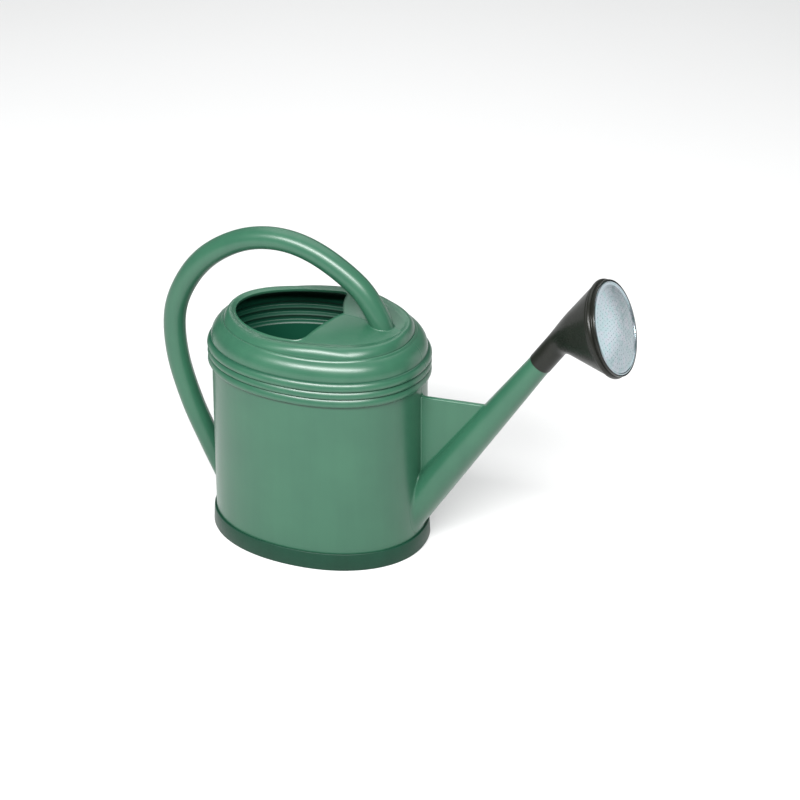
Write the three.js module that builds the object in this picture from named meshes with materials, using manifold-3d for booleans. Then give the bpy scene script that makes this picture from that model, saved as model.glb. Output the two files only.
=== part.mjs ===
// An oval plastic watering can with a loop handle, a long straight spout braced by a flat web,
// and a push-on rose with a perforated metal plate.
// Millimetres. The length runs along X with the spout towards +X, +Z is up, and the can stands on Z = 0.
// Positions along X are measured from the middle of the oval tank until the last step, which moves
// the origin under the middle of the whole can.

import * as THREE from 'three';
import { mergeVertices } from 'three/addons/utils/BufferGeometryUtils.js';
import Module from 'manifold-3d';

const wasm = await Module();
wasm.setup();

// ---- driving dimensions ----

const clearance = 0.3;          // gap between neighbouring pieces
const canMiddleX = 89.9;        // middle of the whole can, from the middle of the tank

const ovalInset = 29.7;         // the oval tank is this much narrower than long, on each side
const ovalSegments = 60;
const skin = 2.5;               // wall thickness of the moulded can

const footHalfLength = 135;
const footHeight = 22.3;
const footFlange = 1.7;         // flange of the foot ring, under the tank's edge
const flangeWidth = 5;
const footDraft = 1;            // the foot ring leans in by this much at its top

const wallBottom = footFlange + clearance;
const wallTop = 223;
const wallBottomHalfLength = 131.8;
const wallTopHalfLength = 130.9;
const floorHeight = 7;

const beadPitch = 10.1;         // three moulded beads between the wall and the shoulder
const beadCount = 3;
const beadRise = 2.6;
const beadSection = [[0, 0], [0.3, 0.85], [0.7, 0.85]];  // height and rise, as shares of pitch and rise
const grooveHalfLength = 133.4;
const creaseHeight = 273.4;     // crease between the main shoulder and the deck
const creaseHalfLength = 117.2;
const creaseInset = 28.6;
const shoulderHalfLength = 130.6;  // the main shoulder's foot, above the beads
const shoulderTurn = Math.PI / 3;  // its section is this much of a circle, drawn out
const shoulderSteps = 5;

const mouthHalfLength = 103;
const mouthHalfWidth = 67.6;
const mouthCornerX = 6.5;       // where the oval edge meets the V-shaped front edge
const mouthApexX = 31.8;
const apexHeight = 292.8;       // the deck is highest at the point of the V
const rearSlope = 0.096;        // its middle line rises this steeply from the rear to the apex
const frontSlope = -0.125;      // and falls this steeply towards the spout
const sideDrop = 7.75;          // the deck is this much lower at the sides of the mouth

const handleRadius = 13.5;
const handlePoints = [
  [-126, 38], [-147.6, 82], [-171.3, 135.6], [-188.2, 195.8], [-189.4, 252.6], [-171.1, 300],
  [-139.2, 338.5], [-93.4, 366], [-45, 374.2], [2.2, 363], [50.4, 332.6], [75.1, 299], [86, 270],
];

const spoutAngle = THREE.MathUtils.degToRad(55.4);   // above the horizontal
const spoutSocket = new THREE.Vector2(277.3, 278.9); // where the spout enters the rose's socket
const spoutRadius = 13.2;       // at the socket
const spoutTaper = 0.0337;      // radius gained per millimetre towards the tank
const spoutLength = 283;        // from the socket to inside the tank, before trimming
const spoutSkin = 2.2;
const boreOvershoot = 20;       // the bore is cut this much further, through the tank's wall
const boreStep = 6;             // the bore narrows over this length, up to the tip
const spigotRadius = 9.7;       // reduced tip that carries the seal
const spigotLength = 26;

const webThickness = 6;
const webTopInner = new THREE.Vector2(120, 204.4);
const webTopOuter = new THREE.Vector2(231, 212.8);

const roseAngle = THREE.MathUtils.degToRad(20.2);    // the rose looks this far above the horizontal
const roseElbow = 49.8;         // from the socket's mouth to where the two axes meet
const roseDepth = 62.6;         // from there to the metal plate
const socketRadius = 14.3;
const socketStations = [[0, 0], [27, 27], [37, 32], [47, 35]];  // along the socket, above and below
const coneStations = [[64, 58], [52, 50], [10.5, 10.5], [0.9, 0.9]];  // behind the plate, likewise
const roseSkin = 1.9;
const coneRadius = 54.1;        // of the cone's open end
const coneEndDepth = 10.5;      // the cone is straight-sided from its rim back this far
const coneApexDepth = 92;       // where the cone's sides would meet, behind the plate
const rimRadius = 57;
const rimBack = 9.5;            // the rim's bead reaches this far behind the plate
const plateRadius = 54.1;
const plateThickness = 1.2;
const sprayHoleRadius = 1.1;
const sprayHoleRings = 3;
const sprayHoleSpacing = 13.5;

// ---- making closed solids ----

function toSolid(geometry) {
  const bare = geometry.clone();
  bare.deleteAttribute('normal');
  bare.deleteAttribute('uv');
  const merged = mergeVertices(bare, 1e-4);
  const corners = merged.index.array;
  const triangles = [];
  for (let i = 0; i < corners.length; i += 3) {
    const [a, b, c] = corners.slice(i, i + 3);
    if (a !== b && b !== c && c !== a) {
      triangles.push(a, b, c);
    }
  }
  return new wasm.Manifold(new wasm.Mesh({
    numProp: 3,
    vertProperties: new Float32Array(merged.attributes.position.array),
    triVerts: new Uint32Array(triangles),
  }));
}

function toGeometry(solid) {
  const mesh = solid.getMesh();
  const geometry = new THREE.BufferGeometry();
  geometry.setAttribute('position', new THREE.BufferAttribute(mesh.vertProperties, 3));
  geometry.setIndex(new THREE.BufferAttribute(mesh.triVerts, 1));
  geometry.computeVertexNormals();
  return geometry;
}

// A ring is a function from an angle to a point. The skin runs through a closed loop of rings.
function ringSkin(rings, segments) {
  const loop = [...rings, rings[0]];
  const geometry = new THREE.LatheGeometry(loop.map((ring, i) => new THREE.Vector2(1, i)), segments);
  const position = geometry.attributes.position;
  for (let i = 0; i <= segments; i++) {
    const angle = 2 * Math.PI * (i % segments) / segments;
    loop.forEach((ring, j) => position.setXYZ(i * loop.length + j, ...ring(angle)));
  }
  return toSolid(geometry);
}

function ovalRing(halfLength, height, inset = ovalInset) {
  const halfWidth = halfLength - inset;
  return (angle) => [halfLength * Math.cos(angle), halfWidth * Math.sin(angle), height];
}

// A round ring in the can's middle plane, facing along a direction tilted up from +X.
function roundRing(centre, tilt, radius) {
  return (angle) => [
    centre.x - radius * Math.cos(angle) * Math.sin(tilt),
    -radius * Math.sin(angle),
    centre.y + radius * Math.cos(angle) * Math.cos(tilt),
  ];
}

function direction(tilt) {
  return new THREE.Vector2(Math.cos(tilt), Math.sin(tilt));
}

// A turned solid from [radius, distance] pairs, its axis tilted up from +X and starting at a point.
// A profile that doesn't start on the axis closes on itself.
function turned(profile, start, tilt, segments = 36) {
  const closed = profile[0][0] > 0 ? [...profile, profile[0]] : profile;
  const points = closed.map(([radius, along]) => new THREE.Vector2(radius, along));
  const geometry = new THREE.LatheGeometry(points, segments);
  geometry.rotateZ(tilt - Math.PI / 2);
  geometry.rotateX(Math.PI / 2);
  geometry.translate(start.x, 0, start.y);
  return toSolid(geometry);
}

// ---- the tank ----

function wallHalfLength(height) {
  const rise = (height - footHeight) / (wallTop - footHeight);
  return THREE.MathUtils.lerp(wallBottomHalfLength, wallTopHalfLength, Math.max(rise, 0));
}

// Everything inside the outer surface of the wall, for trimming what meets it.
function tankBlock() {
  const core = ovalInset + 5;
  const belowGround = -10;
  return ringSkin([
    ovalRing(core, belowGround),
    ovalRing(wallHalfLength(0) + clearance, belowGround),
    ovalRing(wallHalfLength(footHeight) + clearance, footHeight),
    ovalRing(wallHalfLength(wallTop) + clearance, wallTop),
    ovalRing(core, wallTop),
  ], ovalSegments);
}

function footRing() {
  const inner = wallBottomHalfLength + clearance;
  return ringSkin([
    ovalRing(inner - flangeWidth, 0),
    ovalRing(footHalfLength, 0),
    ovalRing(footHalfLength, footFlange),
    ovalRing(footHalfLength - footDraft, footHeight - footDraft),
    ovalRing(footHalfLength - 1.6 * footDraft, footHeight),
    ovalRing(inner, footHeight),
    ovalRing(inner, footFlange),
    ovalRing(inner - flangeWidth, footFlange),
  ], ovalSegments);
}

function tankFloor() {
  const halfLength = wallBottomHalfLength - skin - clearance;
  const oval = new THREE.Shape();
  oval.absellipse(0, 0, halfLength, halfLength - ovalInset, 0, 2 * Math.PI);
  const plate = new THREE.ExtrudeGeometry(oval, {
    depth: skin,
    bevelEnabled: false,
    curveSegments: ovalSegments / 2,
  });
  return toSolid(plate.translate(0, 0, floorHeight));
}

function tankWall() {
  const shell = ringSkin([
    ovalRing(wallHalfLength(0) - skin, wallBottom),
    ovalRing(wallHalfLength(0), wallBottom),
    ovalRing(wallHalfLength(wallTop), wallTop),
    ovalRing(wallHalfLength(wallTop) - skin, wallTop),
  ], ovalSegments);
  const outlet = turned(spoutBore(), spoutSocket, spoutAngle);
  return shell.subtract(outlet);
}

// ---- the shoulder and the deck ----

function shoulderRing() {
  const rings = [];
  const bottom = wallTop + clearance;
  for (let bead = 0; bead < beadCount; bead++) {
    const foot = bottom + bead * beadPitch;
    for (const [height, rise] of beadSection) {
      const base = bead === 0 && height === 0 ? wallTopHalfLength : grooveHalfLength;
      rings.push(ovalRing(base + rise * beadRise, foot + height * beadPitch));
    }
  }
  const shoulderFoot = bottom + beadCount * beadPitch;
  for (let step = 0; step <= shoulderSteps; step++) {
    const turn = shoulderTurn * step / shoulderSteps;
    const inward = (1 - Math.cos(turn)) / (1 - Math.cos(shoulderTurn));
    const upward = Math.sin(turn) / Math.sin(shoulderTurn);
    rings.push(ovalRing(
      THREE.MathUtils.lerp(shoulderHalfLength, creaseHalfLength, inward),
      THREE.MathUtils.lerp(shoulderFoot, creaseHeight - clearance, upward),
      THREE.MathUtils.lerp(ovalInset, creaseInset, step / shoulderSteps),
    ));
  }
  const inside = [
    [creaseHalfLength - 1, creaseHeight - skin - clearance],
    [creaseHalfLength + 7, creaseHeight - 10],
    [shoulderHalfLength - skin, shoulderFoot + 2],
    [grooveHalfLength - skin, shoulderFoot - beadPitch],
    [grooveHalfLength - skin, bottom + beadPitch],
    [wallTopHalfLength - skin, bottom],
  ];
  for (const [halfLength, height] of inside) {
    rings.push(ovalRing(halfLength, height));
  }
  return ringSkin(rings, ovalSegments);
}

// Height of the deck over its inner part, from the mouth's edge to the middle.
function deckHeight(x, y) {
  const slope = x < mouthApexX ? rearSlope : frontSlope;
  return apexHeight + (x - mouthApexX) * slope - sideDrop * (y / mouthHalfWidth) ** 2;
}

// The rounded border between the crease and the mouth's edge: how far in, and the rise there.
const deckBorder = [[0, 0], [0.04, 1.2], [0.15, 3.4], [0.35, 5.9], [0.6, 8], [0.8, 8.8]];
const deckScales = [1, 0.8, 0.6, 0.4, 0.2, 0.04];

function deckRings(offset, narrower = 0) {
  const border = deckBorder.map(([inward, rise]) => {
    const halfLength = THREE.MathUtils.lerp(creaseHalfLength, mouthHalfLength, inward) - narrower;
    const halfWidth = THREE.MathUtils.lerp(creaseHalfLength - creaseInset, mouthHalfWidth, inward) - narrower;
    return ovalRing(halfLength, creaseHeight + rise + offset, halfLength - halfWidth);
  });
  const inner = deckScales.map((scale) => (angle) => {
    const x = scale * mouthHalfLength * Math.cos(angle);
    const y = scale * mouthHalfWidth * Math.sin(angle);
    return [x, y, deckHeight(x, y) + offset];
  });
  return [...border, ...inner];
}

function mouthCutter() {
  const start = Math.PI / 2 + 0.03;
  const oval = new THREE.Vector2(mouthHalfLength * Math.cos(start), mouthHalfWidth * Math.sin(start));
  const corner = new THREE.Vector2(mouthCornerX, mouthHalfWidth);
  const edge = corner.clone().lerp(new THREE.Vector2(mouthApexX, 0), 0.13);
  const bow = new THREE.Vector2(mouthApexX - 13.5, mouthHalfWidth * 0.36);
  const outline = new THREE.Shape();
  outline.moveTo(mouthApexX, 0);
  outline.quadraticCurveTo(bow.x, bow.y, edge.x, edge.y);
  outline.quadraticCurveTo(corner.x, corner.y, oval.x, oval.y);
  outline.absellipse(0, 0, mouthHalfLength, mouthHalfWidth, start, 2 * Math.PI - start);
  outline.quadraticCurveTo(corner.x, -corner.y, edge.x, -edge.y);
  outline.quadraticCurveTo(bow.x, -bow.y, mouthApexX, 0);
  const depth = 80;
  const block = new THREE.ExtrudeGeometry(outline, { depth, bevelEnabled: false, curveSegments: 14 });
  return toSolid(block.translate(0, 0, creaseHeight - depth / 2));
}

function mouthDeck() {
  const underside = deckRings(-skin, 1).slice(1).reverse();
  const lipHalfLength = creaseHalfLength - skin;
  const plate = ringSkin([
    ...deckRings(0),
    ...underside,
    ovalRing(lipHalfLength, creaseHeight, creaseInset),
  ], ovalSegments);
  return plate.subtract(mouthCutter());
}

// Everything under the deck's top surface, for trimming the handle's foot.
function deckBlock() {
  return ringSkin([
    ovalRing(creaseHalfLength, wallTop, creaseInset),
    ...deckRings(clearance),
    ovalRing(deckScales.at(-1) * mouthHalfLength, wallTop, 1),
  ], ovalSegments);
}

// ---- handle, spout and web ----

function handle() {
  const route = new THREE.CatmullRomCurve3(
    handlePoints.map(([x, z]) => new THREE.Vector3(x, 0, z)), false, 'centripetal');
  const section = new THREE.Shape();
  section.absarc(0, 0, handleRadius, 0, 2 * Math.PI);
  const hollow = new THREE.Path();
  hollow.absarc(0, 0, handleRadius - skin, 0, 2 * Math.PI);
  section.holes.push(hollow);
  const tube = new THREE.ExtrudeGeometry(section, {
    steps: 30,
    curveSegments: 6,
    bevelEnabled: false,
    extrudePath: route,
  });
  return toSolid(tube).subtract(tankBlock()).subtract(deckBlock());
}

function spoutRadiusAt(along) {
  return spoutRadius - spoutTaper * along;
}

function spoutBore() {
  const root = -spoutLength - boreOvershoot;
  return [
    [0, root],
    [spoutRadiusAt(root) - spoutSkin, root],
    [spoutRadiusAt(0) - spoutSkin, 0],
    [0, 0],
  ];
}

function spoutCone(grow) {
  return turned([
    [0, -spoutLength],
    [spoutRadiusAt(-spoutLength) + grow, -spoutLength],
    [spoutRadiusAt(0) + grow, 0],
    [0, 0],
  ], spoutSocket, spoutAngle);
}

function spout() {
  const shoulder = -clearance;
  const tube = turned([
    [spoutRadiusAt(-spoutLength) - spoutSkin, -spoutLength],
    [spoutRadiusAt(-spoutLength), -spoutLength],
    [spoutRadiusAt(shoulder), shoulder],
    [spigotRadius, shoulder],
    [spigotRadius, spigotLength],
    [spigotRadius - spoutSkin, spigotLength],
    [spigotRadius - spoutSkin, shoulder],
    [spoutRadiusAt(-boreStep) - spoutSkin, -boreStep],
  ], spoutSocket, spoutAngle, 30);
  return tube.subtract(tankBlock());
}

function spoutWeb() {
  const axis = direction(spoutAngle);
  const onAxis = (x) => new THREE.Vector2(x, spoutSocket.y + (x - spoutSocket.x) * axis.y / axis.x);
  const outline = new THREE.Shape([
    webTopInner,
    onAxis(webTopInner.x),
    onAxis(webTopOuter.x),
    webTopOuter,
  ]);
  const plate = new THREE.ExtrudeGeometry(outline, { depth: webThickness, bevelEnabled: false });
  plate.rotateX(Math.PI / 2).translate(0, webThickness / 2, 0);
  return toSolid(plate).subtract(tankBlock()).subtract(spoutCone(clearance));
}

// ---- the rose ----

const elbow = direction(spoutAngle).multiplyScalar(roseElbow).add(spoutSocket);
const plateCentre = direction(roseAngle).multiplyScalar(roseDepth).add(elbow);

// A point beside one of the rose's two axes, in the middle plane.
function beside(start, tilt, along, radius) {
  const across = direction(tilt + Math.PI / 2).multiplyScalar(radius);
  return direction(tilt).multiplyScalar(along).add(start).add(across);
}

function coneRadiusAt(depth) {
  return coneRadius * (coneApexDepth - depth) / (coneApexDepth - coneEndDepth);
}

// Rings from the socket's mouth to the cone's open end. Each is drawn between its upper and its lower
// point, so that they fan round the inside of the elbow.
function roseRings(inward) {
  const onSocket = (along, side) => beside(spoutSocket, spoutAngle, along, side * (socketRadius - inward));
  const onCone = (depth, side) =>
    beside(plateCentre, roseAngle, -depth, side * (coneRadiusAt(Math.max(depth, coneEndDepth)) - inward));
  const ends = [
    ...socketStations.map(([above, below]) => [onSocket(above, 1), onSocket(below, -1)]),
    ...coneStations.map(([above, below]) => [onCone(above, 1), onCone(below, -1)]),
  ];
  return ends.map(([upper, lower]) => {
    const across = upper.clone().sub(lower);
    const centre = upper.clone().add(lower).multiplyScalar(0.5);
    return roundRing(centre, across.angle() - Math.PI / 2, across.length() / 2);
  });
}

function roseBody() {
  return ringSkin([...roseRings(0), ...roseRings(roseSkin).reverse()], 36);
}

function roseSeal() {
  const inner = spigotRadius + clearance;
  const outer = socketRadius - roseSkin - clearance;
  return turned([[inner, 4], [outer, 4], [outer, 18], [inner, 18]], spoutSocket, spoutAngle, 24);
}

function roseRim() {
  const inner = coneRadius + clearance;
  const front = plateThickness / 2 + clearance;
  return turned([
    [inner, -rimBack],
    [rimRadius - 1.2, -rimBack + 0.6],
    [rimRadius, -rimBack + 2.4],
    [rimRadius, -rimBack + 4.8],
    [rimRadius - 1, -rimBack + 7],
    [rimRadius - 1.9, -1],
    [rimRadius - 2.2, 0.8],
    [rimRadius - 3.2, 1.7],
    [rimRadius - 4.4, 1.4],
    [rimRadius - 4.4, front],
    [inner, front],
  ], plateCentre, roseAngle, 40);
}

function circlePoints(x, y, radius, count) {
  return Array.from({ length: count }, (_, i) => {
    const angle = 2 * Math.PI * i / count;
    return new THREE.Vector2(x + radius * Math.cos(angle), y + radius * Math.sin(angle));
  });
}

function rosePlate() {
  const disc = new THREE.Shape(circlePoints(0, 0, plateRadius, 48));
  disc.holes.push(new THREE.Path(circlePoints(0, 0, sprayHoleRadius, 6)));
  for (let ring = 1; ring <= sprayHoleRings; ring++) {
    for (let hole = 0; hole < 6 * ring; hole++) {
      const angle = 2 * Math.PI * hole / (6 * ring);
      const x = ring * sprayHoleSpacing * Math.cos(angle);
      const y = ring * sprayHoleSpacing * Math.sin(angle);
      disc.holes.push(new THREE.Path(circlePoints(x, y, sprayHoleRadius, 6)));
    }
  }
  const plate = new THREE.ExtrudeGeometry(disc, { depth: plateThickness, bevelEnabled: false });
  plate.translate(0, 0, -plateThickness / 2);
  plate.rotateY(Math.PI / 2 - roseAngle);
  plate.translate(plateCentre.x, 0, plateCentre.y);
  return toSolid(plate);
}

// ---- the assembly ----

const can = new THREE.Group();
can.name = 'watering_can';
can.position.x = -canMiddleX;

function addPiece(name, solid, color, roughness, metalness = 0) {
  const material = new THREE.MeshStandardMaterial({ color, roughness, metalness });
  const mesh = new THREE.Mesh(toGeometry(solid), material);
  mesh.name = name;
  can.add(mesh);
}

const canGreen = '#4f8a6d';
const footGreen = '#34604a';
const roseBlack = '#26292a';

addPiece('tank_wall', tankWall(), canGreen, 0.42);
addPiece('tank_floor', tankFloor(), canGreen, 0.42);
addPiece('foot_ring', footRing(), footGreen, 0.5);
addPiece('shoulder_ring', shoulderRing(), canGreen, 0.38);
addPiece('mouth_deck', mouthDeck(), canGreen, 0.38);
addPiece('handle', handle(), canGreen, 0.38);
addPiece('spout', spout(), canGreen, 0.4);
addPiece('spout_web', spoutWeb(), canGreen, 0.42);
addPiece('rose_body', roseBody(), roseBlack, 0.45);
addPiece('rose_seal', roseSeal(), '#1b1b1b', 0.8);
addPiece('rose_rim', roseRim(), roseBlack, 0.4);
addPiece('rose_plate', rosePlate(), '#c3c9cc', 0.35, 1);

export default can;
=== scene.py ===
"""An oval moulded plastic watering can with a loop handle, a braced spout and a push-on rose.

The shapes are worked out in millimetres from the middle of the tank on the ground, with the spout
towards +X and the parting line of the moulding in the plane Y = 0, and each mesh is then put in the
CAD's frame, in metres.
"""

import math

import bmesh
import bpy
from mathutils import Matrix, Vector


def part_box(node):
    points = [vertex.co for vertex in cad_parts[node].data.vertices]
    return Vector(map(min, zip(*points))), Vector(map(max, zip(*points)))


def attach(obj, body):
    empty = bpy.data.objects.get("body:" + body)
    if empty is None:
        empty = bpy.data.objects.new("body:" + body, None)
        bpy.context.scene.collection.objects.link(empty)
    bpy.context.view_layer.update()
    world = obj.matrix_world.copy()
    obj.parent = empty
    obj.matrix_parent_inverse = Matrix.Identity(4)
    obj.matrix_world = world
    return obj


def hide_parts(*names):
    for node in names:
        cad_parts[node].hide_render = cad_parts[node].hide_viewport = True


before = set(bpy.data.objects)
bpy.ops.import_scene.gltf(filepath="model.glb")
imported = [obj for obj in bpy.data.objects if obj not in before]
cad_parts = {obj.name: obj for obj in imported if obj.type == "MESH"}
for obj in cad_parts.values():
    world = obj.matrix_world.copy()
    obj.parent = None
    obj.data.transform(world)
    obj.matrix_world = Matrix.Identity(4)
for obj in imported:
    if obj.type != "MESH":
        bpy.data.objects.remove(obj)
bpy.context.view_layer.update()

# ---- driving dimensions, in millimetres ----

MM = 0.001
shoulder_low, shoulder_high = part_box("shoulder_ring")
TANK_X = (shoulder_low.x + shoulder_high.x) / 2

COLUMNS = 320
CROWDING = 0.4          # how strongly the columns crowd together at the parting line
SEAM_HEIGHT = 0.35
SEAM_WIDTH = 0.8

SKIN = 2.5
OVERLAP = 0.4           # how far a region of the moulding reaches into the one it grows from
OVAL_INSET = 31.6       # the oval tank is this much narrower than long, on each side
OVAL_POWER = 2.13       # the oval is a little squarer than an ellipse, whose power is 2
FOOT_HALF_LENGTH = 135
FOOT_HEIGHT = 22.3
FOOT_LEAN = 1
FLOOR_CORNER = 7        # radius of the rounded corner between the floor and the wall
WALL_BOTTOM = 2
WALL_TOP = 220.5
WALL_BOTTOM_HALF_LENGTH = 131.6
WALL_TOP_HALF_LENGTH = 131

BEAD_EDGES = [220.2, 231.3, 240.9, 251.6]   # heights of the grooves between the beads
BEAD_RISES = [3.4, 3.4, 3.6]
BEAD_SAG = 1.45         # above 1, the fullest part of a bead sits below its middle
BEAD_SHARPNESS = 1.5    # above 1, a bead is narrower than half a circle
GROOVE_HALF_LENGTH = 132.5
GROOVE_SHADE_REACH = 2.2      # how far from a groove its painted shade fades out
SHOULDER_HALF_LENGTH = 131.4
SHOULDER_TURN = math.radians(64)
CREASE_HEIGHT = 274.2
CREASE_HALF_LENGTH = 115.6
CREASE_INSET = 28.6
CREASE_RIDGE = 0.9
CREASE_RADIUS = 1.4

LIP_RADIUS = 1.3
LIP_RISE = 2.6          # how much the lip stands above the deck
MOUTH_HALF_LENGTH = 103 + LIP_RADIUS
MOUTH_HALF_WIDTH = 67.6 + LIP_RADIUS
MOUTH_CORNER_X = 6.5 + LIP_RADIUS
MOUTH_APEX_X = 31.8 + LIP_RADIUS
MOUTH_START = math.pi / 2 + 0.03    # angle at which the oval edge gives way to the V
MOUTH_CORNER_SHARE = 0.16           # how much of the V's side goes into its rounded corner
APEX_HEIGHT = 292.8
REAR_SLOPE = 0.096
FRONT_SLOPE = -0.125
APEX_ROUNDING = 18      # how gently the rear slope turns into the front one
SIDE_DROP = 7.75
ROOF = 0.5              # how far the deck in front of the mouth is a roof, folded along its middle
ROOF_START = -10
ROOF_RUN = 30           # the fold comes in over this length
BORDER_SHARE = 0.55     # the rounded border reaches full height this far in from the crease
RIM_CREST_SIDE = 2      # the border stands this much above the deck at its sides
RIM_CREST_REAR = 3.4    # and this much at the rear
RIM_SHARPNESS = 1.2

HANDLE_RADIUS = 13.5
HANDLE_POINTS = [
    (-126, 38), (-147.6, 82), (-171.3, 135.6), (-188.2, 195.8), (-189.4, 252.6), (-171.1, 300),
    (-139.2, 338.5), (-93.4, 366), (-45, 374.2), (2.2, 363), (50.4, 332.6), (75.1, 299), (86, 270),
]

SPOUT_ANGLE = math.radians(55.4)
SPOUT_SOCKET = Vector((277.3, 0, 278.9))
SPOUT_RADIUS = 13.2
SPOUT_TAPER = 0.0337
SPOUT_LENGTH = 283
SPOUT_SKIN = 2.2
SPIGOT_RADIUS = 9.7
SPIGOT_LENGTH = 26
SPIGOT_CHAMFER = 1      # along the spigot, and a little less across it

WEB_HALF_THICKNESS = 3.2
WEB_TOP_INNER = Vector((120, 0, 204.4))
WEB_TOP_OUTER = Vector((231, 0, 211.8))
WEB_EDGE_RADIUS = 3
WEB_CORNER_RADIUS = 6
WEB_SPOUT_FILLET = 2.5
WEB_WALL_FILLET = 1.6

ROSE_ANGLE = math.radians(20.2)
ROSE_ELBOW = 49.8
ROSE_DEPTH = 62.6
SOCKET_RADIUS = 14.3
ROSE_SKIN = 1.9
CONE_RADIUS = 54.1
CONE_END_DEPTH = 10.5
CONE_APEX_DEPTH = 92
UPPER_BEND = (30, 48)   # where the bend leaves the socket, and the depth at which it meets the cone
LOWER_BEND = (31, 52.5)
RIM_RADIUS = 57
RIM_BEAD = 2.6
PLATE_RADIUS = 54.1
DOME_RADIUS = 50.6      # where the dome ends and the rolled edge begins
PLATE_SKIN = 0.8
DOME = 4
HOLE_RADIUS = 0.55
HOLE_RINGS = 9
HOLE_SPACING = 5.1


# ---- making meshes ----

def wrap(columns, rows, place):
    """A sheet of cells, columns by rows, each of its corners moved to place(column, row)."""
    bm = bmesh.new()
    bmesh.ops.create_grid(bm, x_segments=columns, y_segments=rows, size=1)
    for vert in bm.verts:
        column = round((vert.co.x + 1) / 2 * columns)
        row = round((vert.co.y + 1) / 2 * rows)
        vert.co = place(column, row)
    bmesh.ops.remove_doubles(bm, verts=bm.verts, dist=0.01)
    return bm


def turned(profile, start, tilt, steps=96):
    """A solid turned from (radius, distance) pairs, on an axis tilted up from +X. A profile that doesn't
    start on the axis closes on itself."""
    bm = bmesh.new()
    verts = [bm.verts.new((radius, 0, along)) for radius, along in profile]
    pairs = list(zip(verts, verts[1:]))
    if profile[0][0] > 0:
        pairs.append((verts[-1], verts[0]))
    edges = [bm.edges.new(pair) for pair in pairs]
    bmesh.ops.spin(bm, geom=verts + edges, cent=(0, 0, 0), axis=(0, 0, 1), dvec=(0, 0, 0),
                   angle=2 * math.pi, steps=steps, use_merge=True)
    bmesh.ops.remove_doubles(bm, verts=bm.verts, dist=0.01)
    bm.transform(Matrix.Translation(start) @ Matrix.Rotation(math.pi / 2 - tilt, 4, "Y"))
    return bm


def add_piece(name, bm, material, slot, body, *stands_for, crease=40):
    """Puts a finished closed shape in the CAD's frame, in metres, riding on its body."""
    bmesh.ops.recalc_face_normals(bm, faces=bm.faces)
    bm.transform(Matrix.Translation((TANK_X, 0, 0)) @ Matrix.Scale(MM, 4))
    mesh = bpy.data.meshes.new(name)
    bm.to_mesh(mesh)
    bm.free()
    mesh.shade_smooth()
    mesh.set_sharp_from_angle(angle=math.radians(crease))
    piece = bpy.data.objects.new(name, mesh)
    bpy.context.scene.collection.objects.link(piece)
    piece.data.materials.append(material)
    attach(piece, body)
    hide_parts(*stands_for)
    return piece


def cut_away(piece, cutter_bm):
    """Cuts a closed shape, given in millimetres, out of a finished piece."""
    bmesh.ops.recalc_face_normals(cutter_bm, faces=cutter_bm.faces)
    cutter_bm.transform(Matrix.Translation((TANK_X, 0, 0)) @ Matrix.Scale(MM, 4))
    cutter_mesh = bpy.data.meshes.new(piece.name + "_cutter")
    cutter_bm.to_mesh(cutter_mesh)
    cutter_bm.free()
    cutter = bpy.data.objects.new(piece.name + "_cutter", cutter_mesh)
    bpy.context.scene.collection.objects.link(cutter)
    modifier = piece.modifiers.new("cut", "BOOLEAN")
    modifier.operation = "DIFFERENCE"
    modifier.solver = "EXACT"
    modifier.object = cutter
    graph = bpy.context.evaluated_depsgraph_get()
    made = bpy.data.meshes.new_from_object(piece.evaluated_get(graph))
    piece.modifiers.clear()
    piece.data = made
    bpy.data.objects.remove(cutter)


def lerp(start, end, share):
    return start + (end - start) * share


def bezier(start, control, end, share):
    return start.lerp(control, share).lerp(control.lerp(end, share), share)


def smooth(share):
    """An eased step from 0 to 1."""
    share = min(max(share, 0), 1)
    return share * share * (3 - 2 * share)


def crowded(column, columns=COLUMNS):
    """An angle round a piece, with the columns crowded together at the parting line, which is at 0
    and at half a turn."""
    turn = 2 * math.pi * column / columns
    return turn - CROWDING * math.sin(2 * turn)


def seam(y):
    """The fine ridge that the two halves of the mould leave on the parting line."""
    return SEAM_HEIGHT * math.exp(-(y / SEAM_WIDTH) ** 2)


def direction(tilt):
    """The unit vector tilted up this much from +X."""
    return Vector((math.cos(tilt), 0, math.sin(tilt)))


# ---- tank, foot and shoulder ----

def wall_half_length(height):
    rise = (height - FOOT_HEIGHT) / (WALL_TOP - FOOT_HEIGHT)
    return lerp(WALL_BOTTOM_HALF_LENGTH, WALL_TOP_HALF_LENGTH, max(rise, 0))


def rounded_off(value, power):
    """A sine or cosine reshaped so that the oval it draws has this power."""
    return math.copysign(abs(value) ** (2 / power), value)


def oval_reach(x, y, half_length, half_width, power):
    """1 on the oval, more outside it and less inside it."""
    return (abs(x / half_length) ** power + abs(y / half_width) ** power) ** (1 / power)


def oval_point(angle, half_length, inset, height, ridge=True):
    """A point on an oval ring, raised a little where it crosses the parting line."""
    x = half_length * rounded_off(math.cos(angle), OVAL_POWER)
    y = (half_length - inset) * rounded_off(math.sin(angle), OVAL_POWER)
    if ridge:
        x += math.copysign(seam(y), x)
    return Vector((x, y, height))


def oval_shell(outline, ridge=True, ring=True):
    """A closed ring, or a closed plate whose outline starts and ends in its middle, through
    (half length, inset, height) corners."""
    def place(column, row):
        return oval_point(crowded(column), *outline[row % len(outline)], ridge)
    return wrap(COLUMNS, len(outline) if ring else len(outline) - 1, place)


def inside_of(outline, distance=SKIN):
    """The same outline set in by the wall's thickness, in reverse order."""
    inner = []
    for i, (half_length, inset, height) in enumerate(outline):
        before, after = outline[max(i - 1, 0)], outline[min(i + 1, len(outline) - 1)]
        run, rise = after[0] - before[0], after[2] - before[2]
        reach = math.hypot(run, rise)
        inner.append((half_length - distance * rise / reach, inset, height + distance * run / reach))
    return inner[::-1]


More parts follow.
